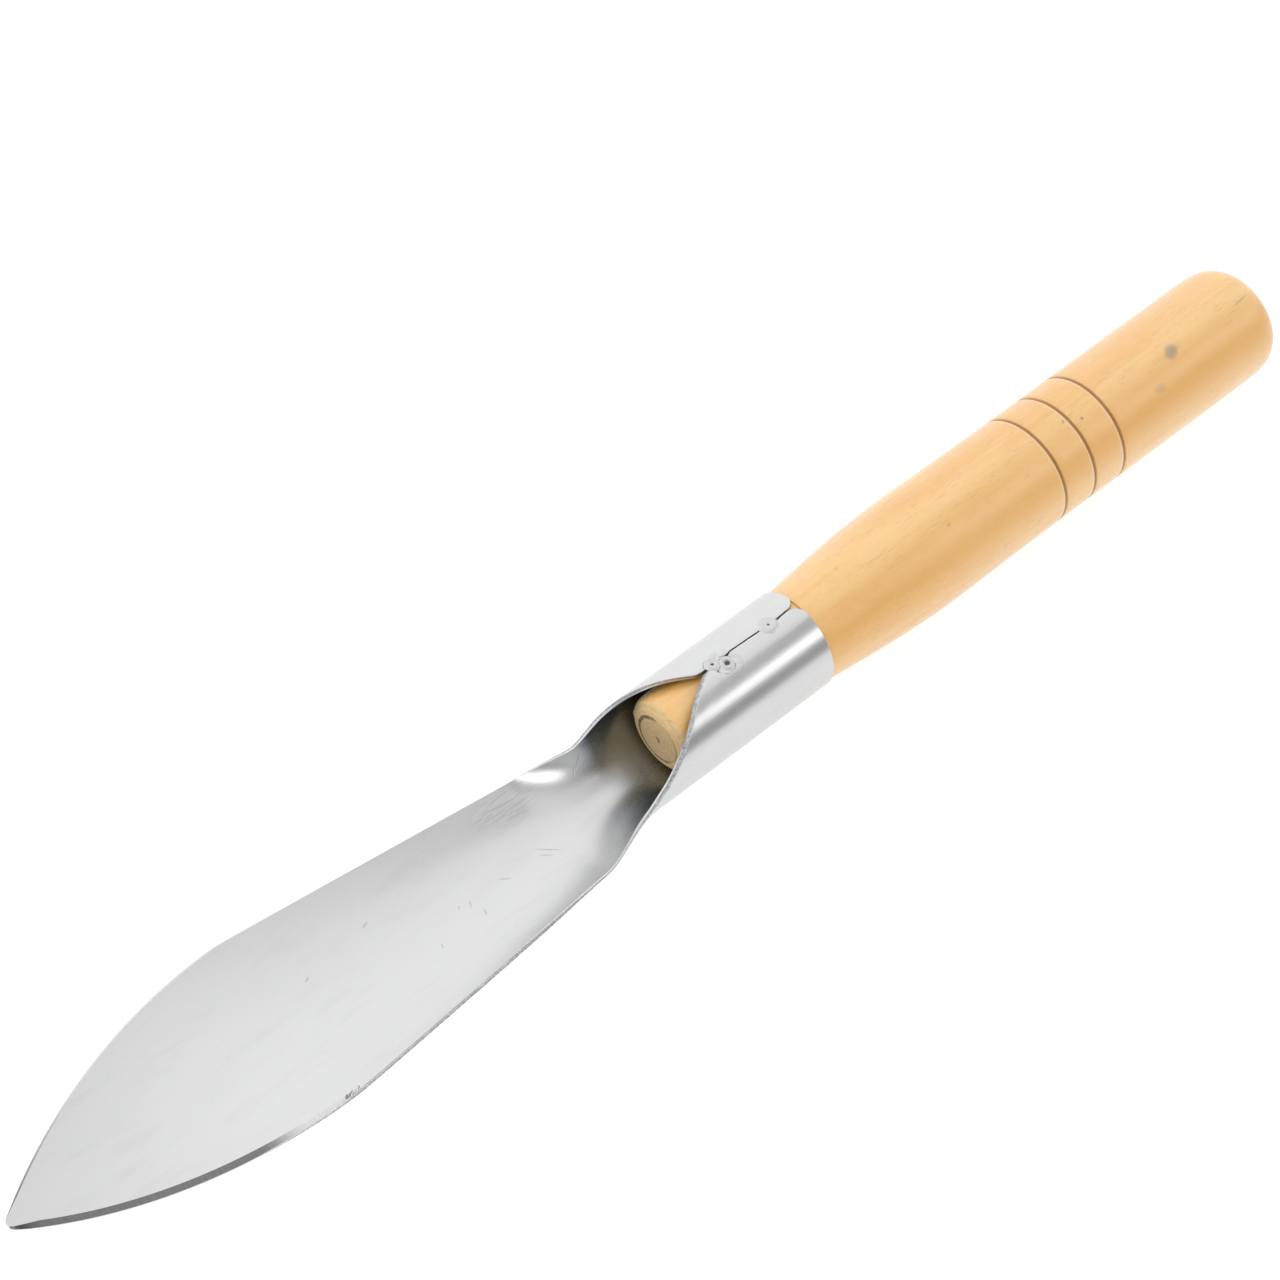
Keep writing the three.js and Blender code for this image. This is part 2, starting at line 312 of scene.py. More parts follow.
class Shader:
    """Builds one node tree."""

    def __init__(self, tree):
        self.tree = tree
        tree.nodes.clear()

    def node(self, kind, settings=None, inputs=None, output=0):
        """Adds a node: its settings first, then the values or links of its sockets."""
        made = self.tree.nodes.new(kind)
        for name, value in (settings or {}).items():
            if name == "stops":
                self.set_stops(made.color_ramp, value)
            else:
                setattr(made, name, value)
        for key, value in (inputs or {}).items():
            socket = self.find(made.inputs, key)
            if isinstance(value, Wire):
                self.tree.links.new(value.socket, socket)
            else:
                socket.default_value = value
        if isinstance(output, tuple):
            return [Wire(self, self.find(made.outputs, key)) for key in output]
        return Wire(self, self.find(made.outputs, output)) if len(made.outputs) else made

    @staticmethod
    def find(sockets, key):
        if isinstance(key, int):
            return sockets[key]
        by_identifier = [socket for socket in sockets if socket.identifier == key]
        return by_identifier[0] if by_identifier else sockets[key]

    @staticmethod
    def set_stops(ramp, stops):
        while len(ramp.elements) > 1:
            ramp.elements.remove(ramp.elements[-1])
        for index, (position, level) in enumerate(stops):
            element = ramp.elements[0] if index == 0 else ramp.elements.new(position)
            element.position = position
            element.color = (level, level, level, 1)

    def millimetres(self, attribute=None):
        """Place on the piece in millimetres: a stored attribute, or else the object's own coordinates."""
        if attribute:
            place = self.node("ShaderNodeAttribute", {"attribute_name": attribute}, output="Vector")
        else:
            place = self.node("ShaderNodeTexCoord", output="Object")
        return self.scaled(place, (1000.0, 1000.0, 1000.0))

    def value_of(self, attribute):
        return self.node("ShaderNodeAttribute", {"attribute_name": attribute}, output="Fac")

    def scaled(self, vector, factors):
        return self.node("ShaderNodeVectorMath", {"operation": "MULTIPLY"}, {0: vector, 1: factors})

    def parts(self, vector):
        return self.node("ShaderNodeSeparateXYZ", None, {0: vector}, output=(0, 1, 2))

    def noise(self, vector, scale, detail=2.0, roughness=0.5, distortion=0.0):
        return self.node("ShaderNodeTexNoise", None, {
            "Vector": vector, "Scale": scale, "Detail": detail, "Roughness": roughness,
            "Distortion": distortion})

    def grain(self, vector, factors, detail=2.0, roughness=0.5, distortion=0.0):
        """Noise that runs finer or longer along each axis."""
        return self.noise(self.scaled(vector, factors), 1.0, detail, roughness, distortion)

    def mix(self, factor, a, b):
        """Mixes two colours."""
        a = (*a, 1.0) if isinstance(a, tuple) and len(a) == 3 else a
        b = (*b, 1.0) if isinstance(b, tuple) and len(b) == 3 else b
        return self.node("ShaderNodeMix", {"data_type": "RGBA"}, {
            "Factor_Float": factor, "A_Color": a, "B_Color": b}, output="Result_Color")

    def shade(self, colour, factor):
        """Multiplies a colour by a value that varies over the surface."""
        return self.node("ShaderNodeVectorMath", {"operation": "SCALE"}, {0: colour, "Scale": factor})

    def bump(self, height, distance, strength=1.0):
        inputs = {"Height": height, "Distance": distance, "Strength": strength}
        return self.node("ShaderNodeBump", None, inputs)

    def distance(self, place, centre):
        """Distance of every place from one point."""
        inputs = {0: place, 1: centre}
        return self.node("ShaderNodeVectorMath", {"operation": "DISTANCE"}, inputs, output="Value")

    def spot(self, place, centre, turned, length, width, core=0.25):
        """Soft-edged oval mark, 1 in its middle: turned in degrees, the rest in millimetres."""
        along, across, _ = self.parts(place)
        sine = math.sin(math.radians(turned))
        cosine = math.cos(math.radians(turned))
        u = (along - centre[0]) * (cosine / length) + (across - centre[1]) * (sine / length)
        v = (across - centre[1]) * (cosine / width) - (along - centre[0]) * (sine / width)
        return 1 - (u * u + v * v).between(core, 1.0)

    def surface(self, **values):
        shader = self.node("ShaderNodeBsdfPrincipled", None, {
            name.replace("_", " "): value for name, value in values.items()})
        self.node("ShaderNodeOutputMaterial", None, {"Surface": shader})


def new_material(name):
    material = bpy.data.materials.new(name)
    material.use_nodes = True
    return material, Shader(material.node_tree)


# ---- Steel finishes ----
# Painted shade: how much of its red, green and blue the steel keeps inside the socket's hollow
HOLLOW_SHADE_TINT = (0.65, 0.72, 0.79)


def brushed_steel(settings):
    """Satin sheet: fine lines along the tool, faint stains, small dents and ripples round the welds."""
    material, s = new_material("satin_steel")
    place = s.millimetres("blank")
    lines = s.grain(place, (0.035, 2.6, 0.0), 3.0, 0.6)
    stains = s.grain(place, (0.05, 0.09, 0.0), 3.0, 0.55, 0.6)
    specks = s.grain(place, (0.5, 0.9, 0.0), 2.0, 0.6)
    streaks = s.spot(place, (LENGTH / 2 - 138.0, -14.0), 0, 11.0, 5.5, 0.0)
    streaks = streaks * s.grain(place, (0.22, 2.0, 0.0), 2.0, 0.6).between(0.46, 0.62)
    marks = 0.0
    for centre, turned, length, width in SHEET_MARKS:
        mark = s.spot(place, (LENGTH / 2 - centre[0], centre[1]), turned, length, width)
        marks = marks + mark
    along, _, _ = s.parts(place)
    # painted shade: the sheet darkens towards the tip over its last 60 mm, standing in for the dimmer
    # reflection there
    painted_tip_shade = along.between(LENGTH / 2 - 60, LENGTH / 2 + 12) * 0.13
    smears = s.grain(place, (0.055, 0.26, 0.0), 5.0, 0.68, 0.5).between(0.50, 0.70)
    solid = s.millimetres()
    shaky = s.noise(solid, 0.8, 2.0) * 0.9 - 0.45
    rings = 0.0
    for (at, beside), radius, width, strength in WELD_RINGS:
        reach = s.distance(solid, (LENGTH / 2 - at, beside, AXIS_HEIGHT + SOCKET_RADIUS))
        ring = (1 - abs(reach + shaky * 0.8 - radius).between(0.0, width)) * strength
        rings = rings + ring
    rings = rings * s.noise(solid, 0.42, 1.0).between(0.44, 0.56)
    tone = 0.965 + stains * 0.05 + lines * 0.035 + specks * 0.012 - streaks * 0.16 - marks * 0.2 - painted_tip_shade
    tone = tone - smears * 0.04 - rings * 0.62
    # painted shade: inside the socket and the neck's hollow the sheet is darkened and tinted bluish
    _, solid_near, solid_up = s.parts(solid)
    from_axis = (solid_near * solid_near + (solid_up - AXIS_HEIGHT) * (solid_up - AXIS_HEIGHT)) ** 0.5
    in_socket = 1 - along.between(LENGTH / 2 - 167, LENGTH / 2 - 158)
    inside = (1 - from_axis.between(11.3, 11.8)) * in_socket
    hollow_shade_colour = tuple(part * factor for part, factor in zip(settings.colour, HOLLOW_SHADE_TINT))
    colour = s.shade(s.mix(inside, (*settings.colour,), hollow_shade_colour), tone)
    relief = lines * 0.35 + stains * 0.5 - streaks * 0.3 - marks * 0.5 - rings * 3.0
    s.surface(
        Base_Color=colour, Metallic=1.0,
        Roughness=settings.roughness - 0.03 + lines * 0.03 + stains * 0.05 + marks * 0.1,
        Normal=s.bump(relief, 0.03 * MM, 0.55))
    return material


def ground_steel(settings):
    """Freshly ground bevel: fine stripes square to the edge; painted shade darkens the near bevel's front
    and the far bevel's tip.
    """
    material, s = new_material("ground_steel")
    place = s.millimetres("blank")
    stripes = s.grain(place, (2.2, 0.25, 0.0), 3.0, 0.65)
    broad = s.grain(place, (0.25, 0.1, 0.0), 2.0)
    along, _, _ = s.parts(place)
    patch = along.between(LENGTH / 2 - 72, LENGTH / 2 - 70)
    patch = patch * (1 - along.between(LENGTH / 2 - 66, LENGTH / 2 - 64))
    slant = s.node("ShaderNodeVectorRotate", {"rotation_type": "Z_AXIS"}, {"Vector": place, "Angle": 0.9})
    _, across, _ = s.parts(place)
    near_side = across.between(-0.5, 0.5)
    strokes = s.grain(slant, (2.4, 0.3, 0.0), 1.0).between(0.46, 0.56) * patch * near_side
    front = along.between(LENGTH / 2 - 56, LENGTH / 2 - 46)
    tip = along.between(LENGTH / 2 - 30, LENGTH / 2 - 2)
    # painted shade: the near bevel's front and the far bevel's tip are darkened in place of the dark
    # surroundings they reflect
    painted_dark_reflection = 1 - front * near_side * (0.74 - stripes * 0.12) - tip * (1 - near_side) * 0.68
    tone = (0.80 + stripes * 0.24 + broad * 0.06 - strokes * 0.6) * painted_dark_reflection
    s.surface(
        Base_Color=s.shade((*settings.colour,), tone), Metallic=1.0,
        Roughness=0.2 + stripes * 0.12, Normal=s.bump(stripes, 0.03 * MM, 0.8))
    return material


def sheared_steel(settings):
    """Cut edge: smooth where the shear entered, torn and rough where the sheet broke."""
    material, s = new_material("sheared_steel")
    place = s.millimetres()
    grit = s.noise(place, 2.6, 3.0, 0.65)
    tears = s.grain(place, (1.1, 1.1, 0.4), 2.0, 0.5)
    torn = s.value_of("torn")
    tone = 1.02 - torn * ((grit - 0.34) * 1.9 - (tears - 0.5) * 0.5) + (1 - torn) * tears * 0.06
    relief = grit * (0.2 + torn) + tears * 0.5
    s.surface(
        Base_Color=s.shade((*settings.edge_colour,), tone), Metallic=1.0,
        Roughness=0.26 + torn * 0.16 + grit * 0.08, Normal=s.bump(relief, 0.16 * MM, 1.0))
    return material


# Small dents and scuffs on the sheet: (distance from the tip, across), turn, half length and half width
SHEET_MARKS = (
    ((117.5, 0.1), 60, 1.2, 0.26), ((118.5, 3.8), 66, 1.2, 0.24), ((115.2, -0.9), 50, 0.7, 0.22),
    ((127.5, -0.2), -36, 1.7, 0.24), ((139.5, -0.1), -43, 3.6, 0.22), ((138.2, 0.8), -40, 1.9, 0.2),
    ((106.0, 4.6), 64, 0.8, 0.22), ((79.5, -7.1), 25, 0.9, 0.3), ((97.0, -9.8), 20, 1.2, 0.32),
    ((157.0, -12.9), 55, 2.6, 0.25), ((155.5, -11.6), 62, 1.8, 0.2),
)

# Ripples round the welds: (distance from the tip, across from the seam), radius, half width, strength
WELD_RINGS = (
    ((189.3, 1.55), 2.35, 0.22, 1.0), ((189.3, 1.55), 2.95, 0.18, 0.55), ((189.3, 1.55), 3.5, 0.16, 0.45),
    ((189.3, 1.55), 4.05, 0.16, 0.3), ((186.9, 0.0), 1.85, 0.2, 0.9), ((203.6, 0.2), 2.05, 0.18, 0.8),
    ((190.5, 5.05), 0.55, 0.25, 1.0), ((177.7, 5.6), 1.0, 0.2, 0.7),
)

# ---- The sheet, as a flat blank and as rolled ----
CREST = (70.7, 24.25)
TAPER = (69.2, 24.2, -0.0905)
FRONT_ARC_RADIUS = 119.5
NOSE = (0.8, 1.2)
MOUTH = 182.7
FLARE_SLOPE = 0.813
TIP_CURVATURE, HEEL_CURVATURE, HEEL_AT, CURVATURE_GROWTH = 0.0142, 0.0355, 131.2, 2.7
ROLL_FROM, ROLL_TO = 142.2, 161.7
SPINE_BREAK, SPINE_SLOPE = 151.2, 0.0605
GRIND_END = 70.0
EDGE_ZONE = 4.0
CORNER = 0.10
# Columns beside each edge, by distance from it: close together over the bevel and the weld ripples
EDGE_COLUMNS = np.concatenate([np.linspace(CORNER, 1.4, 8), np.arange(1.6, EDGE_ZONE + 0.01, 0.2)])
CENTRE_COLUMNS = 50
# Outline of a sheared edge from the inner face to the outer one: (distance in from the edge, height, torn)
SHEARED_EDGE = (
    (0.03, -0.455, 0), (0.0, -0.37, 0), (0.0, -0.08, 0), (0.05, -0.02, 1), (0.07, 0.2, 1), (0.05, 0.44, 1),
)
# The sheet's finishes, in the order of its materials
SATIN, SHEARED, GROUND = 0, 1, 2
# Tack welds: (node, how far the bead spreads, radius of its crater, seed of its lumps)
WELDS = (
    ("front_tack_weld", 1.3, 0.62, 20),
    ("middle_tack_weld", 1.25, 1.15, 25),
    ("rear_tack_weld", 1.25, 0.55, 30),
)


def weld_place(node):
    """Distance from the tip, distance across from the socket's top and radius of a weld, in millimetres."""
    low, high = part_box(node)
    middle = (low + high) / 2 / MM
    return from_tip(middle.x * MM), middle.y, (high.x - low.x) / 2 / MM


def blank_half_width(at, closed):
    """Half the blank's width at each distance from the tip."""
    ahead = np.maximum(CREST[0] - at, 0)
    front_arc = CREST[1] - FRONT_ARC_RADIUS + np.sqrt(FRONT_ARC_RADIUS ** 2 - ahead ** 2)
    taper = TAPER[1] + TAPER[2] * (at - TAPER[0])
    flare = closed + FLARE_SLOPE * (at - MOUTH)
    waisted = soft_max(soft_min(front_arc, taper, 0.12), flare, 0.75)
    return np.minimum(soft_min(waisted, closed, 0.35), NOSE[0] + NOSE[1] * at)


def bend_radius(at, middle_radius):
    growth = (np.minimum(at, ROLL_TO) / HEEL_AT) ** CURVATURE_GROWTH
    blade = TIP_CURVATURE + (HEEL_CURVATURE - TIP_CURVATURE) * growth
    return 1 / (blade + (1 / middle_radius - blade) * smooth_step(at, ROLL_FROM, ROLL_TO))


def spine_height(at, middle_radius):
    rising = -middle_radius + SPINE_SLOPE * (SPINE_BREAK - at)
    return soft_max(-middle_radius, rising, 0.3) - 0.09 / middle_radius


def roll(at, across, offset, middle_radius):
    """Rolls places on the flat blank, in millimetres, to places on the finished sheet, in metres."""
    radius = bend_radius(at, middle_radius)
    angle = across / radius
    centre = AXIS_HEIGHT + spine_height(at, middle_radius) + radius
    reach = radius + offset
    points = (LENGTH / 2 - at, reach * np.sin(angle), centre - reach * np.cos(angle))
    return np.stack(np.broadcast_arrays(*points), axis=-1) * MM


def sheet_rows():
    """Distances from the tip of the rows of the blank: close together at the tip, the neck and the welds."""
    spans = ((0.0, 1.0, 0.2), (1.0, 6.0, 0.5), (6.0, 62.0, 1.4), (62.0, 80.0, 0.75), (80.0, 139.0, 1.6),
             (139.0, 184.0, 0.45), (184.0, 207.4, 0.2), (207.4, RIM - 0.3, 0.4))
    return np.concatenate([np.arange(low, high - 1e-6, step) for low, high, step in spans])


# Sideways steps of the seam: (distance from the tip, distance towards the near side)
SEAM_STEPS = (
    (185, 0), (191.4, 0.04), (192.4, -0.34), (201.3, -0.06), (203.5, 0.04), (205.8, 0.14), (210.4, -0.08),
)


def seam_edges(at):
    """How far each flap stands back from the seam's line: the gap opens beside the welds and steps aside."""
    gap = 0.11 * np.exp(-((at - 191.1) / 0.5) ** 4) + 0.11 * np.exp(-((at - 205.8) / 0.55) ** 4)
    tight = smooth_step(at, 191.6, 192.6) * (1 - smooth_step(at, 203.0, 205.0))
    gap = gap - 0.055 * tight + 0.02 * wobble(at, 0.8, 3) * (1 - 0.6 * tight)
    side = np.interp(at, *zip(*SEAM_STEPS)) + 0.02 * wobble(at, 1.3, 5)
    in_socket = smooth_step(at, MOUTH + 1.0, MOUTH + 4)
    return (gap - side) * in_socket, (gap + side) * in_socket


def sheet_surface(settings):
    """Places, blank coordinates, torn share and finish of every vertex of the blank's wrapped grid."""
    thickness = settings.thickness / MM
    middle_radius = SOCKET_RADIUS - thickness / 2
    closed = math.pi * middle_radius - settings.seam_gap / MM / 2
    corner = settings.rear_corner / MM
    # rows of less thickness round the ends: (distance from the tip, share of the thickness)
    row_list = [(at, 1.0) for at in sheet_rows()]
    row_list[0:1] = [(0.0, 0.6), (0.06, 0.85), (0.16, 1.0)]
    row_list += [(RIM - 0.10, 1.0), (RIM - 0.03, 0.92), (RIM, 0.78)]
    torn_profile = np.array(SHEARED_EDGE)
    grind_width = settings.grind_width / MM
    grind_depth = settings.grind_depth / MM
    points, blanks, torn, finish = [], [], [], []
    for nominal, share in row_list:
        half = blank_half_width(np.array(nominal), closed)
        back_far, back_near = seam_edges(np.array(nominal))
        # the near flap's front corner is rounded off
        into_corner = np.clip(1 - (nominal - MOUTH + 0.7) / 3.2, 0, 1)
        round_near = np.minimum(1.1 * into_corner ** 2.2, 0.55)
        round_near = round_near * smooth_step(nominal, MOUTH - 4.5, MOUTH - 0.7)
        far = half - back_far
        near = half - back_near - round_near
        zone = min(EDGE_ZONE, 0.85 * half)
        squeeze = (zone - CORNER) / (EDGE_ZONE - CORNER)
        columns = CORNER + (EDGE_COLUMNS - CORNER) * squeeze
        middle = np.linspace(-far + zone, near - zone, CENTRE_COLUMNS + 1)[1:-1]
        across = np.concatenate([-far + columns, middle, (near - columns)[::-1]])
        beside = np.concatenate([columns, np.full(len(middle), zone + 1), columns[::-1]])
        ground = 1 - smooth_step(nominal, GRIND_END - 10, GRIND_END + 2)
        # the near bevel is steep in front and shallower behind, the far one only breaks the edge
        steep = 1 - 0.62 * smooth_step(nominal, 42, 60)
        bevel_widths = grind_width * np.array([0.34, 0.72 + 0.28 * steep])
        depth = grind_depth * ground * np.array([0.45, steep])
        width = CORNER + (bevel_widths - CORNER) * squeeze
        is_near = (across > 0).astype(int)
        inner = -thickness / 2 + depth[is_near] * np.clip(1 - beside / width[is_near], 0, 1)
        outer = np.full(len(across), thickness / 2)
        # the shear rolls the outer corner over, most of all round the neck
        neck = smooth_step(nominal, 118, 148) * (1 - smooth_step(nominal, MOUTH - 1, MOUTH + 5))
        outer = outer - (0.05 + 0.17 * neck) * np.clip(1 - beside / 0.55, 0, 1) ** 2
        rolled = neck * is_near * np.clip((1.05 + 0.08 * wobble(nominal, 0.6, 21) - beside) / 0.95, 0, 1)
        outer = outer - 0.36 * rolled
        near_rough = 0.035 * wobble(nominal, 0.5, 11)
        far_rough = 0.035 * wobble(nominal, 0.5, 12)
        edge_offset = []
        for side, corner_height in ((0, outer[0]), (1, outer[-1])):
            heights = thickness / 2 - (thickness / 2 - torn_profile[:, 1]) * (1 - depth[side])
            edge_offset.append(np.minimum(heights, corner_height - 0.02))
        edge_dist = torn_profile[:, 0]
        near_edge = near - edge_dist + near_rough * torn_profile[:, 2]
        far_edge = -far + edge_dist + far_rough * torn_profile[:, 2]
        loop_across = np.concatenate([across, near_edge, across[::-1], far_edge[::-1]])
        loop_offset = np.concatenate([inner, edge_offset[1], outer[::-1], edge_offset[0][::-1]])
        middle_offset = np.concatenate([
            (inner + outer) / 2, np.full(len(torn_profile), edge_offset[1].mean()),
            ((inner + outer) / 2)[::-1], np.full(len(torn_profile), edge_offset[0].mean())])
        loop_offset = middle_offset + (loop_offset - middle_offset) * share
        place = np.full(len(loop_across), nominal)
        # the flaps' rear corners are round
        start = RIM - 2 * corner - 0.4
        if nominal > start:
            from_seam = np.minimum(near - loop_across, far + loop_across)
            into = np.clip(corner - from_seam, 0, corner)
            pulled = corner - np.sqrt(np.maximum(corner ** 2 - into ** 2, 0))
            place = nominal - pulled * (nominal - start) / (RIM - start)
        points.append(roll(place, loop_across, loop_offset, middle_radius))
        blanks.append(np.stack([LENGTH / 2 - place, loop_across, np.zeros(len(place))], axis=-1) * MM)
        torn.append(np.concatenate([
            np.zeros(len(across)), torn_profile[:, 2],
            np.clip(2.4 * rolled, 0, 1)[::-1], torn_profile[::-1, 2]]))
        count = len(across)
        edge = len(torn_profile)
        kinds = np.full(2 * count + 2 * edge, SATIN)
        kinds[count - 1:count + edge] = SHEARED
        kinds[2 * count + edge - 1:] = SHEARED
        if ground > 0.12:
            far_bevel, near_bevel = (int(np.sum(EDGE_COLUMNS < bevel - 1e-6)) for bevel in bevel_widths)
            kinds[:far_bevel] = GROUND
            kinds[count - 1 - near_bevel:count - 1] = GROUND
        if neck > 0.3:
            kinds[count + edge - 1:count + edge + int(np.sum(rolled > 0.02))] = SHEARED
        finish.append(kinds)
    return np.array(points), np.array(blanks), np.array(torn), np.array(finish)


def add_sheet(settings):
    """The blank is a grid wrapped round the sheet's section, closed at both ends and rolled to shape."""
    points, blanks, torn, finish = sheet_surface(settings)
    rows, loop = points.shape[:2]
    start_piece()
    bpy.ops.mesh.primitive_grid_add(x_subdivisions=rows - 1, y_subdivisions=loop, size=2)
    piece = bpy.context.object
    piece.name = piece.data.name = "blade_and_socket_sheet"
    mesh = piece.data
    flat = places(mesh)
    row = np.rint((flat[:, 0] + 1) / 2 * (rows - 1)).astype(int)
    column = np.rint((flat[:, 1] + 1) / 2 * loop).astype(int) % loop
    move_vertices(mesh, points[row, column])
    point_attribute(mesh, "blank", "FLOAT_VECTOR", blanks[row, column])
    point_attribute(mesh, "torn", "FLOAT", torn[row, column])
    corners = np.empty(len(mesh.loops), int)
    mesh.loops.foreach_get("vertex_index", corners)
    corners = corners.reshape(-1, 4)
    face_columns = np.sort(np.rint((flat[corners, 1] + 1) / 2 * loop).astype(int), axis=1)[:, 0]
    face_rows = row[corners].min(axis=1)
    mesh.polygons.foreach_set("material_index", finish[face_rows, face_columns % loop])
    bpy.ops.object.mode_set(mode="EDIT")
    bpy.ops.mesh.select_all(action="SELECT")
    bpy.ops.mesh.remove_doubles(threshold=0.5e-6)
    halfway = 0.5 * (points[0, :, 0].mean() + points[-1, :, 0].max())
    for is_front in (True, False):
        bpy.ops.mesh.select_all(action="DESELECT")
        bpy.ops.mesh.select_non_manifold(extend=False)
        bpy.ops.object.mode_set(mode="OBJECT")
        for vertex in mesh.vertices:
            vertex.select = vertex.select and ((vertex.co.x > halfway) == is_front)
        for edge in mesh.edges:
            edge_x = mesh.vertices[edge.vertices[0]].co.x
            edge.select = edge.select and ((edge_x > halfway) == is_front)
        bpy.ops.object.mode_set(mode="EDIT")
        bpy.ops.mesh.edge_face_add()
    bpy.ops.mesh.select_all(action="SELECT")
    bpy.ops.mesh.normals_make_consistent(inside=False)
    bpy.ops.object.mode_set(mode="OBJECT")
    for polygon in mesh.polygons:
        if len(polygon.vertices) > 4:
            polygon.material_index = SHEARED
    return piece


# ---- The handle ----
SHOULDER_GAP = 0.04
NECK_RADIUS = 11.5
SWELL_END = 252.0
GRIP = ((252.0, 14.15), (269.0, 14.0), (287.0, 13.9), (307.0, 14.0), (329.0, 14.08), (349.9, 14.12))
GROOVES = (285.3, 295.11, 304.92)
# Section of a groove: (share of its half width, share of its depth)
GROOVE_SECTION = (
    (-1.25, 0), (-1.0, 0.06), (-0.8, 0.3), (-0.45, 0.85), (0, 1.0),
    (0.4, 0.9), (0.8, 0.4), (1.0, 0.1), (1.25, 0),
)
# End of the tenon, with its centre mark, ring and rounded rim: (distance back from the front, radius)
TENON_END = (
    (0.35, 0.05), (0.3, 0.25), (0.08, 0.45), (0.03, 0.7), (0.02, 2.0), (0, 4.0), (0, 5.3), (0.04, 5.6),
    (0.26, 5.75), (0.3, 6.0), (0.12, 6.2), (0.2, 6.8), (0.38, 7.4), (0.65, 8.0), (1.02, 8.55), (1.5, 9.05),
    (2.1, 9.38), (3.0, 9.56),
)
TENON_FULL_AT = 202.0
BUTT_DEPTH = 11.6
BUTT_ROUNDNESS = 3.9


def handle_outline(settings):
    """(distance from the tip, radius) from the tenon's centre mark to the middle of the butt."""
    bore = SOCKET_RADIUS - 1.0 - 0.03
    shoulder = RIM + SHOULDER_GAP
    outline = [(TENON_FRONT + back, radius) for back, radius in TENON_END]
    taper_from, rim_radius = outline[-1]
    for at in np.arange(176, TENON_FULL_AT, 2.0):
        share = (at - taper_from) / (TENON_FULL_AT - taper_from)
        outline.append((at, rim_radius + (bore - rim_radius) * share))
    outline += [(TENON_FULL_AT, bore), (shoulder - 0.02, bore)]
    outline += [(shoulder, NECK_RADIUS - 0.12), (shoulder + 0.1, NECK_RADIUS)]
    for share in np.linspace(0, 1, 28)[1:]:
        radius = NECK_RADIUS + (GRIP[0][1] - NECK_RADIUS) * math.sin(math.pi / 2 * share)
        outline.append((shoulder + 0.1 + (SWELL_END - shoulder - 0.1) * share, radius))
    half = settings.groove_half_width / MM
    depth = settings.groove_depth / MM
    grip_at, grip_radius = zip(*GRIP)
    turned = [
        at for at in np.arange(SWELL_END + 1.5, GRIP[-1][0], 1.5)
        if all(abs(at - groove) > 2.4 * half for groove in GROOVES)]
    ring = [(at, float(np.interp(at, grip_at, grip_radius))) for at in turned]
    for groove in GROOVES:
        level = float(np.interp(groove, grip_at, grip_radius))
        for place, drop in GROOVE_SECTION:
            ring.append((groove + place * half, level - drop * depth))
    outline += sorted(ring)
    end_radius = GRIP[-1][1]
    for angle in np.linspace(0, math.pi / 2, 22)[:-1]:
        radius = end_radius * math.cos(angle)
        reach = (1 - (radius / end_radius) ** BUTT_ROUNDNESS) ** (1 / BUTT_ROUNDNESS)
        outline.append((LENGTH - BUTT_DEPTH * (1 - reach), radius))
    outline.append((LENGTH, 0.3))
    kept = [outline[0]]
    for point in outline[1:]:
        if math.hypot(point[0] - kept[-1][0], point[1] - kept[-1][1]) > 0.015:
            kept.append(point)
    return kept


def add_handle(settings):
    outline = [(at * MM, radius * MM) for at, radius in handle_outline(settings)]
    piece = turn("handle_turned", outline, 128, (CAD_HIGH.x, 0, AXIS_HEIGHT * MM), (-1, 0, 0))
    mesh = piece.data
    points = places(mesh)
    # a small splinter stands up at the tenon's rim, on the far side
    at = (CAD_HIGH.x - points[:, 0]) / MM
    reach = np.hypot(points[:, 1], points[:, 2] - AXIS_HEIGHT * MM) / MM
    angle = np.degrees(np.arctan2(points[:, 1], points[:, 2] - AXIS_HEIGHT * MM))
    lift = np.exp(-((angle + 84) / 3.2) ** 2) * np.exp(-((at - TENON_FRONT - 0.75) / 0.6) ** 2)
    lift = lift * (reach > 7.5)
    away = np.stack([np.full(len(at), 0.6), np.sin(np.radians(angle)), np.cos(np.radians(angle))], axis=-1)
    points = points + away * (lift * 0.30 * MM)[:, None]
    move_vertices(mesh, points)
    return piece


SWELL_RADIUS = 14.1
# Knots and stains: (distance from the tip, degrees round from the top towards the near side),
# turn, half length, half width, depth of the colour
HANDLE_MARKS = (
    ((328.7, 21.0), 35, 2.7, 2.1, 0.74), ((328.4, 21.5), 8, 4.6, 1.2, 0.25),
    ((320.4, 43.0), 0, 2.2, 1.4, 0.34), ((298.0, 22.0), 0, 0.6, 0.5, 0.9),
    ((293.7, 13.6), 30, 0.7, 0.36, 0.85), ((353.2, 20.4), 6, 3.6, 0.34, 0.5),
    ((253.0, 28.1), 0, 0.8, 0.5, 0.5),
)
ROSY_WOOD = (0.89, 0.51, 0.20)
SHADED_BAND_WOOD = (0.73, 0.345, 0.028)
LIP_HIGHLIGHT_COLOUR = (1.0, 0.78, 0.46)
GROOVE_BURN_AND_SHADOW = (0.27, 0.095, 0.015)
DIRT_AND_SHADOW_WOOD = (0.09, 0.06, 0.03)
# Painted light: how much paler than the sawn end its rounded rim is, for the light on its chamfer
RIM_PAINTED_LIGHT = (1.34, 1.28, 1.2)


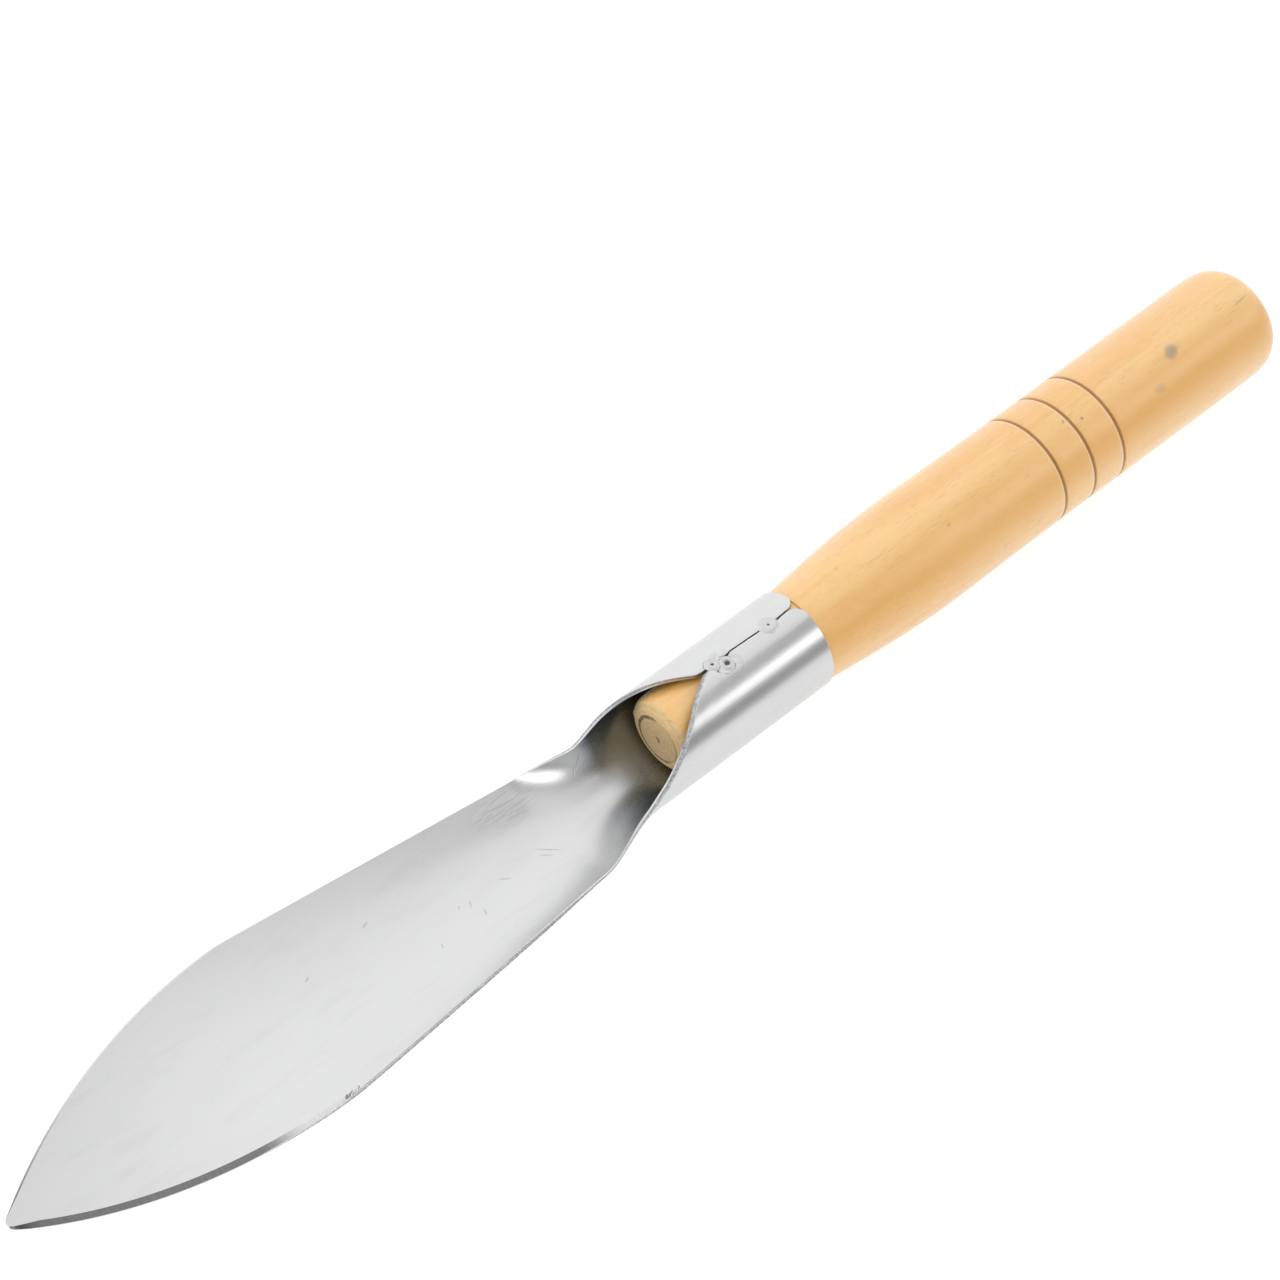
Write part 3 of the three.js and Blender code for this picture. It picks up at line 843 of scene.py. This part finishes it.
def handle_wood(settings):
    """Pale varnished wood: fibres, short dark pores, growth bands, burnt grooves and a few pin knots,
    with painted shadow in the grooves, painted highlights on their lips and painted shade along the near
    side.
    """
    material, s = new_material("turned_wood")
    place = s.millimetres()
    along, near, up = s.parts(place)
    turn_round = near.calculate("ARCTAN2", near, up - AXIS_HEIGHT) * SWELL_RADIUS
    skin = s.node("ShaderNodeCombineXYZ", None, {0: along, 1: turn_round, 2: 0.0})
    slow = s.grain(place, (0.014, 0.10, 0.10), 3.0, 0.5, 0.4)
    bands = s.grain(place, (0.012, 0.34, 0.34), 2.0, 0.5, 0.6)
    mottle = s.grain(place, (0.10, 0.30, 0.30), 2.0, 0.5)
    fibres = s.grain(place, (0.11, 3.0, 3.0), 3.0, 0.65)
    pores = s.grain(place, (0.34, 4.3, 4.3), 2.0, 0.5).between(0.57, 0.69)
    flecks = s.grain(place, (0.8, 1.6, 1.6), 2.0, 0.5)
    honey = slow.between(0.35, 0.65) * 0.5 + bands.between(0.35, 0.7) * 0.25
    honey = honey + fibres * 0.35 + mottle * 0.3 - 0.22
    colour = s.mix(honey.between(-0.05, 1.0), (*settings.light_wood,), (*settings.honey_wood,))
    colour = s.mix(mottle.between(0.5, 0.75) * 0.35, colour, ROSY_WOOD)
    colour = s.mix(pores * (0.15 + mottle.between(0.40, 0.62) * 0.33), colour, (*settings.fibre,))
    # painted shade: a darker, yellower band runs along the near side, which faces away from the lights,
    # strongest towards the butt
    shaded_band = 1 - abs(turn_round + slow * 4 - 14.5).between(2.0, 10.5)
    colour = s.mix(shaded_band * (0.72 - along.between(-150, 20) * 0.34), colour, SHADED_BAND_WOOD)
    fuzz = s.node("ShaderNodeTexNoise", None, {"Vector": place, "Scale": 1.3, "Detail": 2.0}, output="Color")
    shift = s.scaled(fuzz, (0.5, 0.5, 0.0))
    warped = s.node("ShaderNodeVectorMath", {"operation": "ADD"}, {0: skin, 1: shift})
    for (at, degrees), turned, length, width, depth in HANDLE_MARKS:
        centre = (LENGTH / 2 - at + 0.25, math.radians(degrees) * SWELL_RADIUS + 0.25)
        mark = s.spot(warped, centre, turned, length, width, 0.0)
        colour = s.mix(mark * depth, colour, (*settings.knot,))
    burnt = 0.0
    painted_lip_highlight = 0.0
    for groove in GROOVES:
        off = along - (LENGTH / 2 - groove)
        burnt = burnt + (1 - abs(off + 0.10 + flecks * 0.1).between(0.15, 0.45))
        painted_lip_highlight = painted_lip_highlight + (1 - abs(off - 0.66).between(0.06, 0.26))
    # painted highlight: a pale line just on the tip side of each groove, where light catches its edge
    colour = s.mix(painted_lip_highlight * 0.4, colour, LIP_HIGHLIGHT_COLOUR)
    # the dark line in each groove, set towards the butt, is partly burn and partly painted shadow
    colour = s.mix(burnt * 0.8, colour, GROOVE_BURN_AND_SHADOW)
    colour = s.shade(colour, 0.96 + flecks * 0.05 + fibres * 0.04)
    relief = fibres * 0.5 + flecks * 0.2 - pores * 0.8
    s.surface(
        Base_Color=colour, Roughness=settings.roughness - 0.04 + fibres * 0.08 + pores * 0.1,
        Normal=s.bump(relief, 0.05 * MM, 0.35), Specular_IOR_Level=0.5,
        Coat_Weight=0.9, Coat_IOR=2.05, Coat_Roughness=0.42, Sheen_Weight=0.58, Sheen_Roughness=0.35)
    return material


def sawn_end(settings):
    """End of the tenon: fuzzy end grain inside a dark ring of painted shadow, broken where the ring's groove
    faces the lights, a dark centre mark, and a rounded rim made paler with painted light.
    """
    material, s = new_material("end_grain")
    place = s.millimetres()
    _, near, up = s.parts(place)
    height = up - AXIS_HEIGHT
    reach = ((near * near) + height * height) ** 0.5
    warp = s.noise(place, 0.5, 2.0) * 1.1
    grit = s.noise(place, 2.4, 3.0, 0.6)
    fuzz = s.grain(place, (1.0, 0.6, 2.2), 3.0, 0.65)
    rings = ((reach + warp) * 5.2).sine() * 0.5 + 0.5
    # painted shadow: the ring's groove is darkened only on the side turned away from the lights
    away_from_lights = 1 - (near + height * 0.5 + grit * 1.5).between(0.5, 3.6)
    ring_shadow = (1 - abs(reach + grit * 0.35 - 6.02).between(0.2, 0.7)) * away_from_lights
    ring_shadow = ring_shadow * (0.55 + fuzz.between(0.35, 0.6) * 0.45)
    across_mark = near * 0.62 - height * 0.78
    along_mark = near * 0.78 + height * 0.62
    mark = (across_mark * across_mark * 0.7 + along_mark * along_mark * 3.2) ** 0.5
    centre = 1 - (mark + grit * 0.7).between(0.75, 1.35)
    inner = 1 - reach.between(5.6, 6.4)
    rim = tuple(min(1.0, part * factor) for part, factor in zip(settings.end_grain, RIM_PAINTED_LIGHT))
    dark_grain = tuple(part * 0.55 for part in settings.end_grain)
    colour = s.mix(inner * 0.75, rim, (*settings.end_grain,))
    colour = s.mix(rings * 0.14 + (fuzz - 0.35) * 0.9, colour, dark_grain)
    colour = s.mix(ring_shadow * 0.9 + centre * 0.9, colour, DIRT_AND_SHADOW_WOOD)
    s.surface(Base_Color=colour, Roughness=0.75, Normal=s.bump(grit * 0.7 + fuzz * 0.6, 0.16 * MM, 0.9))
    return material


# ---- Welds and nail ----
def weld_metal(settings):
    material, s = new_material("weld_metal")
    place = s.millimetres()
    lumps = s.noise(place, 1.9, 3.0, 0.6)
    burnt = s.value_of("burnt")
    dark = (burnt + (lumps - 0.5) * 1.1).between(0.40, 0.85)
    colour = s.mix(dark, s.shade((*settings.colour,), 0.86 + lumps * 0.2), (*settings.burnt,))
    s.surface(Base_Color=colour, Metallic=1.0, Roughness=0.24 + lumps * 0.2 + dark * 0.2,
              Normal=s.bump(lumps, 0.12 * MM, 0.8))
    return material


def add_weld(node, settings, spread, crater, seed):
    """A tack weld: a low ring of metal round a burnt crater, lying on the round socket."""
    at, beside, radius = weld_place(node)
    radius *= spread
    start_piece()
    height = settings.height / MM
    rings, segments = 16, 40
    radii = [radius * 1.12 * (1 - ring / rings) * MM for ring in range(rings)] + [0.02 * MM]
    bpy.ops.mesh.primitive_circle_add(vertices=segments, radius=radii[0], fill_type="NOTHING")
    piece = bpy.context.object
    piece.name = piece.data.name = node + "_bead"
    bpy.ops.object.mode_set(mode="EDIT")
    bpy.ops.mesh.select_all(action="SELECT")
    # the skirt goes down into the seam, and the top closes towards the crater
    bpy.ops.mesh.extrude_region_move(TRANSFORM_OT_translate={"value": (0, 0, 0.2 * MM)})
    for old, new in zip(radii, radii[1:]):
        bpy.ops.mesh.extrude_region_move(TRANSFORM_OT_translate={"value": (0, 0, 1e-6)})
        bpy.ops.transform.resize(value=(new / old, new / old, 1), center_override=(0, 0, 0.2 * MM))
    bpy.ops.mesh.merge(type="CENTER")
    select_vertices(piece, lambda co: co.z < 0.1 * MM)
    bpy.ops.mesh.edge_face_add()
    bpy.ops.mesh.select_all(action="SELECT")
    bpy.ops.mesh.normals_make_consistent(inside=False)
    bpy.ops.object.mode_set(mode="OBJECT")
    mesh = piece.data
    points = places(mesh) / MM
    bottom = points[:, 2] < 0.1
    reach = np.hypot(points[:, 0], points[:, 1]) / radius
    round_angle = np.arctan2(points[:, 1], points[:, 0])
    uneven = 1 + 0.09 * wobble(round_angle * 3, 2.1, seed) * np.clip(reach, 0, 1)
    bulge = np.exp(-((reach - 0.66) / 0.23) ** 2) * (1 + 0.45 * wobble(round_angle * 4 + 30, 1.9, seed + 1))
    pit = np.exp(-(reach / (crater / radius)) ** 2)
    level = height * (0.42 * (1 - smooth_step(reach, 0.7, 1.1)) + 0.72 * bulge - 0.38 * pit)
    level = level - 0.06 * smooth_step(reach, 0.85, 1.12)
    level = np.where(bottom, -0.2, level + 0.04)
    beside_top = beside + points[:, 1] * uneven
    lean = beside_top / SOCKET_RADIUS
    out = SOCKET_RADIUS + level
    forward = LENGTH / 2 - at + points[:, 0] * uneven
    placed = np.stack([forward, out * np.sin(lean), AXIS_HEIGHT + out * np.cos(lean)], axis=-1)
    move_vertices(mesh, placed * MM)
    burnt = np.exp(-(reach / (crater / radius * 0.8)) ** 2) + 0.55 * smooth_step(reach, 0.93, 1.08)
    point_attribute(mesh, "burnt", "FLOAT", np.where(bottom, 1.0, burnt))
    return piece


def nail_steel(settings):
    material, s = new_material("nail_steel")
    place = s.millimetres()
    lumps = s.noise(place, 1.2, 3.0, 0.6)
    s.surface(Base_Color=s.shade((*settings.colour,), 0.75 + lumps * 0.5), Metallic=1.0,
              Roughness=0.38 + lumps * 0.15, Normal=s.bump(lumps, 0.06 * MM, 0.6))
    return material


def add_nail():
    """A round-head nail: its point, shank and domed head are turned in one go, point first."""
    low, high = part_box("retaining_nail")
    head = (high.x - low.x) / 2
    length = high.z - low.z
    shank = 0.75 * MM
    dome = 0.3 * MM
    outline = [
        (0, 0.08 * MM), (2.4 * MM, shank * 0.97), (2.7 * MM, shank), (length - 0.75 * MM, shank),
        (length - 0.6 * MM, shank * 1.25), (length - 0.52 * MM, head * 0.94), (length - 0.45 * MM, head)]
    for angle in np.linspace(0, math.pi / 2, 9)[:-1]:
        outline.append((length - dome + dome * math.sin(angle), head * math.cos(angle)))
    outline.append((length, 0.1 * MM))
    middle = (low + high) / 2
    return turn("retaining_nail_turned", outline, 32, (middle.x, middle.y, high.z), (0, 0, -1))


# ---- Operators ----
class TROWEL_OT_sheet(bpy.types.Operator):
    """Cut, grind and roll the steel sheet of the blade and socket"""
    bl_idname = "trowel.sheet"
    bl_label = "Blade and Socket"

    def execute(self, context):
        settings = context.scene.trowel_sheet
        piece = add_sheet(settings)
        for material in (brushed_steel(settings), sheared_steel(settings), ground_steel(settings)):
            piece.data.materials.append(material)
        finish_piece(piece, "blade_and_socket", 22)
        return {"FINISHED"}


class TROWEL_OT_handle(bpy.types.Operator):
    """Turn the wooden handle with its tenon, grooves and rounded butt"""
    bl_idname = "trowel.handle"
    bl_label = "Handle"

    def execute(self, context):
        settings = context.scene.trowel_handle
        piece = add_handle(settings)
        piece.data.materials.append(handle_wood(settings))
        piece.data.materials.append(sawn_end(settings))
        for polygon in piece.data.polygons:
            if polygon.center.x > CAD_HIGH.x - (TENON_FRONT + 1.6) * MM:
                polygon.material_index = 1
        finish_piece(piece, "handle", 32)
        return {"FINISHED"}


class TROWEL_OT_welds(bpy.types.Operator):
    """Lay the three tack welds on the socket's seam"""
    bl_idname = "trowel.welds"
    bl_label = "Tack Welds"

    def execute(self, context):
        settings = context.scene.trowel_weld
        material = weld_metal(settings)
        for node, spread, crater, seed in WELDS:
            piece = add_weld(node, settings, spread, crater, seed)
            piece.data.materials.append(material)
            finish_piece(piece, node, 60)
        return {"FINISHED"}


class TROWEL_OT_nail(bpy.types.Operator):
    """Drive the nail that holds the handle, from under the socket"""
    bl_idname = "trowel.nail"
    bl_label = "Nail"

    def execute(self, context):
        piece = add_nail()
        piece.data.materials.append(nail_steel(context.scene.trowel_nail))
        finish_piece(piece, "retaining_nail", 35)
        return {"FINISHED"}


# Brightness of the studio round the tool's axis: (degrees from straight up towards the near side, level)
STUDIO = (
    (-180, 1.2), (-100, 1.2), (-80, 1.27), (-50, 1.27), (-30, 1.23), (-15, 1.18), (0, 1.13), (10, 1.08),
    (20, 1.03), (30, 1.0), (38, 0.80), (46, 0.60), (60, 0.44), (70, 0.36), (86, 0.38), (94, 0.66),
    (108, 1.06), (125, 1.2), (180, 1.2),
)
# Soft lights: (name, middle, tilt towards the tool in degrees, size, radiance)
LIGHTS = (
    ("strip_light", (-0.83, 0.543, 0.491), -49.0, (1.02, 0.235), 2.15),
    ("side_light", (0.135, 0.61, 0.33), -62.0, (0.17, 0.26), 3.2),
)


class TROWEL_OT_stage(bpy.types.Operator):
    """Lay the pale floor, light the studio and set up the camera"""
    bl_idname = "trowel.stage"
    bl_label = "Stage"

    def execute(self, context):
        settings = context.scene.trowel_stage
        start_piece()
        bpy.ops.mesh.primitive_plane_add(size=settings.floor_size, location=(0, 0, -0.05 * MM))
        floor = context.object
        floor.name = "studio_floor"
        material, s = new_material("studio_paper")
        s.surface(Base_Color=(0.34, 0.34, 0.34, 1), Roughness=1.0, Specular_IOR_Level=0.0,
                  Emission_Color=(1, 1, 1, 1), Emission_Strength=0.82)
        floor.data.materials.append(material)

        world = bpy.data.worlds.new("studio")
        context.scene.world = world
        world.use_nodes = True
        s = Shader(world.node_tree)
        direction = s.node("ShaderNodeTexCoord", output="Generated")
        _, y, z = s.parts(direction)
        angle = y.calculate("ARCTAN2", y, z) * (0.5 / math.pi) + 0.5
        light = s.node("ShaderNodeValToRGB", {
            "stops": [((degrees + 180) / 360, level) for degrees, level in STUDIO]}, {0: angle})
        seen = s.node("ShaderNodeLightPath", output="Is Camera Ray")
        background = s.node("ShaderNodeBackground", None, {
            "Color": s.mix(seen, light, (1.0, 1.0, 1.0)), "Strength": 1.0})
        s.node("ShaderNodeOutputWorld", None, {"Surface": background})

        for name, middle, tilt, (long_side, short_side), radiance in LIGHTS:
            bpy.ops.object.light_add(type="AREA", location=middle, rotation=(math.radians(tilt), 0, 0))
            light = context.object
            light.name = name
            light.data.shape = "RECTANGLE"
            light.data.size = long_side
            light.data.size_y = short_side
            light.data.energy = radiance * math.pi * long_side * short_side * settings.light_level

        # A grey card over the socket puts the dark band beside the strip light's reflection
        bpy.ops.mesh.primitive_plane_add(size=1, location=(-0.42, 0.245, 0.5), rotation=(math.pi, 0, 0))
        card = context.object
        card.name = "studio_card"
        card.scale = (0.44, 0.30, 1)
        material, s = new_material("card_grey")
        s.surface(Base_Color=(0.3, 0.3, 0.3, 1), Roughness=1.0, Specular_IOR_Level=0.0,
                  Emission_Color=(1, 1, 1, 1), Emission_Strength=0.12)
        card.data.materials.append(material)
        card.visible_camera = False

        bpy.ops.object.camera_add(location=settings.camera_place)
        camera = context.object
        camera.name = "camera"
        camera.rotation_euler = Vector(settings.camera_aim).to_track_quat("-Z", "Y").to_euler()
        camera.data.lens = settings.lens
        camera.data.sensor_width = 36
        camera.data.clip_start = 0.01
        context.scene.camera = camera
        context.scene.view_settings.view_transform = "Standard"
        return {"FINISHED"}


class TROWEL_PT_build(bpy.types.Panel):
    """Lists the steps of the trowel"""
    bl_idname = "TROWEL_PT_build"
    bl_label = "Hand Trowel"
    bl_space_type = "VIEW_3D"
    bl_region_type = "UI"
    bl_category = "Trowel"

    def draw(self, context):
        for operator in OPERATORS:
            self.layout.operator(operator.bl_idname)


OPERATORS = (TROWEL_OT_sheet, TROWEL_OT_handle, TROWEL_OT_welds, TROWEL_OT_nail, TROWEL_OT_stage)
SETTINGS = {
    "trowel_sheet": SheetSettings, "trowel_handle": HandleSettings, "trowel_weld": WeldSettings,
    "trowel_nail": NailSettings, "trowel_stage": StageSettings,
}


def register():
    for group in (*SETTINGS.values(), *OPERATORS, TROWEL_PT_build):
        bpy.utils.register_class(group)
    for name, group in SETTINGS.items():
        setattr(bpy.types.Scene, name, bpy.props.PointerProperty(type=group))


def unregister():
    for name in SETTINGS:
        delattr(bpy.types.Scene, name)
    for group in reversed((*SETTINGS.values(), *OPERATORS, TROWEL_PT_build)):
        bpy.utils.unregister_class(group)


def main():
    register()
    bpy.ops.trowel.sheet()
    bpy.ops.trowel.handle()
    bpy.ops.trowel.welds()
    bpy.ops.trowel.nail()
    bpy.ops.trowel.stage()


if __name__ == "__main__":
    main()
